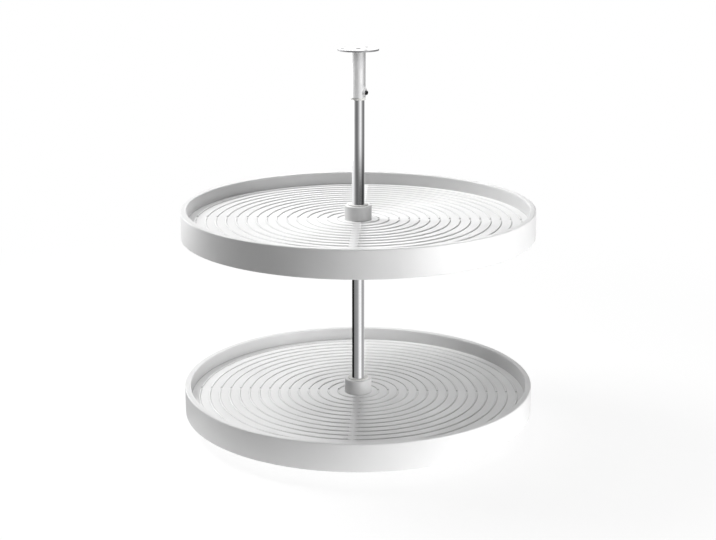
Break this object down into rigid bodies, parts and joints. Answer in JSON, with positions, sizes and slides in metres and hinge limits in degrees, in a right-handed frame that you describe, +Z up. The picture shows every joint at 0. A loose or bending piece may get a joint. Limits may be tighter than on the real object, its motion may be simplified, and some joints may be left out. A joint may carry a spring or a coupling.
{
  "type": "revolving shelf set",
  "caption": "Round moulded trays that turn on an upright post with a telescoping top sleeve and screw flanges, for storage inside a corner or pantry cabinet.",
  "frame": {"origin": "centre of the floor flange's underside, on the post's axis", "axes": "+Z up along the post; -Y is the front; the gaps in the trays' ribs lie along X and Y"},
  "size_m": [0.6096, 0.6096, 0.6604],
  "materials": {
    "white_polymer": "semi-gloss moulded white",
    "natural_nylon": "natural off-white nylon",
    "chromed_steel": "bright chromed tube",
    "satin_steel": "satin light grey steel",
    "zinc_plated_steel": "bright zinc plated",
    "black_oxide_steel": "black oxide"
  },
  "bodies": {
    "post_and_foot": {"floor_flange": "zinc_plated_steel", "foot_socket": "zinc_plated_steel", "foot_grub_screw": "black_oxide_steel", "post": "chromed_steel", "post_guide_plug": "natural_nylon"},
    "telescoping_sleeve": {"sleeve": "satin_steel", "sleeve_guide_ring": "natural_nylon", "lock_boss": "satin_steel", "top_flange": "satin_steel"},
    "lock": {"lock_screw": "black_oxide_steel"},
    "lower_carrier": {"lower_collar": "zinc_plated_steel", "lower_collar_screw": "black_oxide_steel", "lower_thrust_washer": "natural_nylon"},
    "lower_turntable": {"lower_tray": "white_polymer", "lower_top_bush": "natural_nylon", "lower_bottom_bush": "natural_nylon"},
    "upper_carrier": {"upper_collar": "zinc_plated_steel", "upper_collar_screw": "black_oxide_steel", "upper_thrust_washer": "natural_nylon"},
    "upper_turntable": {"upper_tray": "white_polymer", "upper_top_bush": "natural_nylon", "upper_bottom_bush": "natural_nylon"}
  },
  "joints": [
    {"name": "sleeve_extend", "type": "slide", "parent": "post_and_foot", "child": "telescoping_sleeve", "axis": [0, 0, 1], "range_m": [0, 0.05]},
    {"name": "lock_screw_turn", "type": "hinge", "parent": "telescoping_sleeve", "child": "lock", "pos_m": [0.01342, -0.00775, 0.587], "axis": [0.866, -0.5, 0], "range_deg": [0, 720]},
    {"name": "lower_tray_height", "type": "slide", "parent": "post_and_foot", "child": "lower_carrier", "axis": [0, 0, 1], "range_m": [0, 0.06]},
    {"name": "lower_tray_spin", "type": "hinge", "parent": "lower_carrier", "child": "lower_turntable", "pos_m": [0, 0, 0.0302], "axis": [0, 0, 1], "continuous": true},
    {"name": "upper_tray_height", "type": "slide", "parent": "post_and_foot", "child": "upper_carrier", "axis": [0, 0, 1], "range_m": [-0.12, 0.1]},
    {"name": "upper_tray_spin", "type": "hinge", "parent": "upper_carrier", "child": "upper_turntable", "pos_m": [0, 0, 0.3442], "axis": [0, 0, 1], "continuous": true}
  ]
}
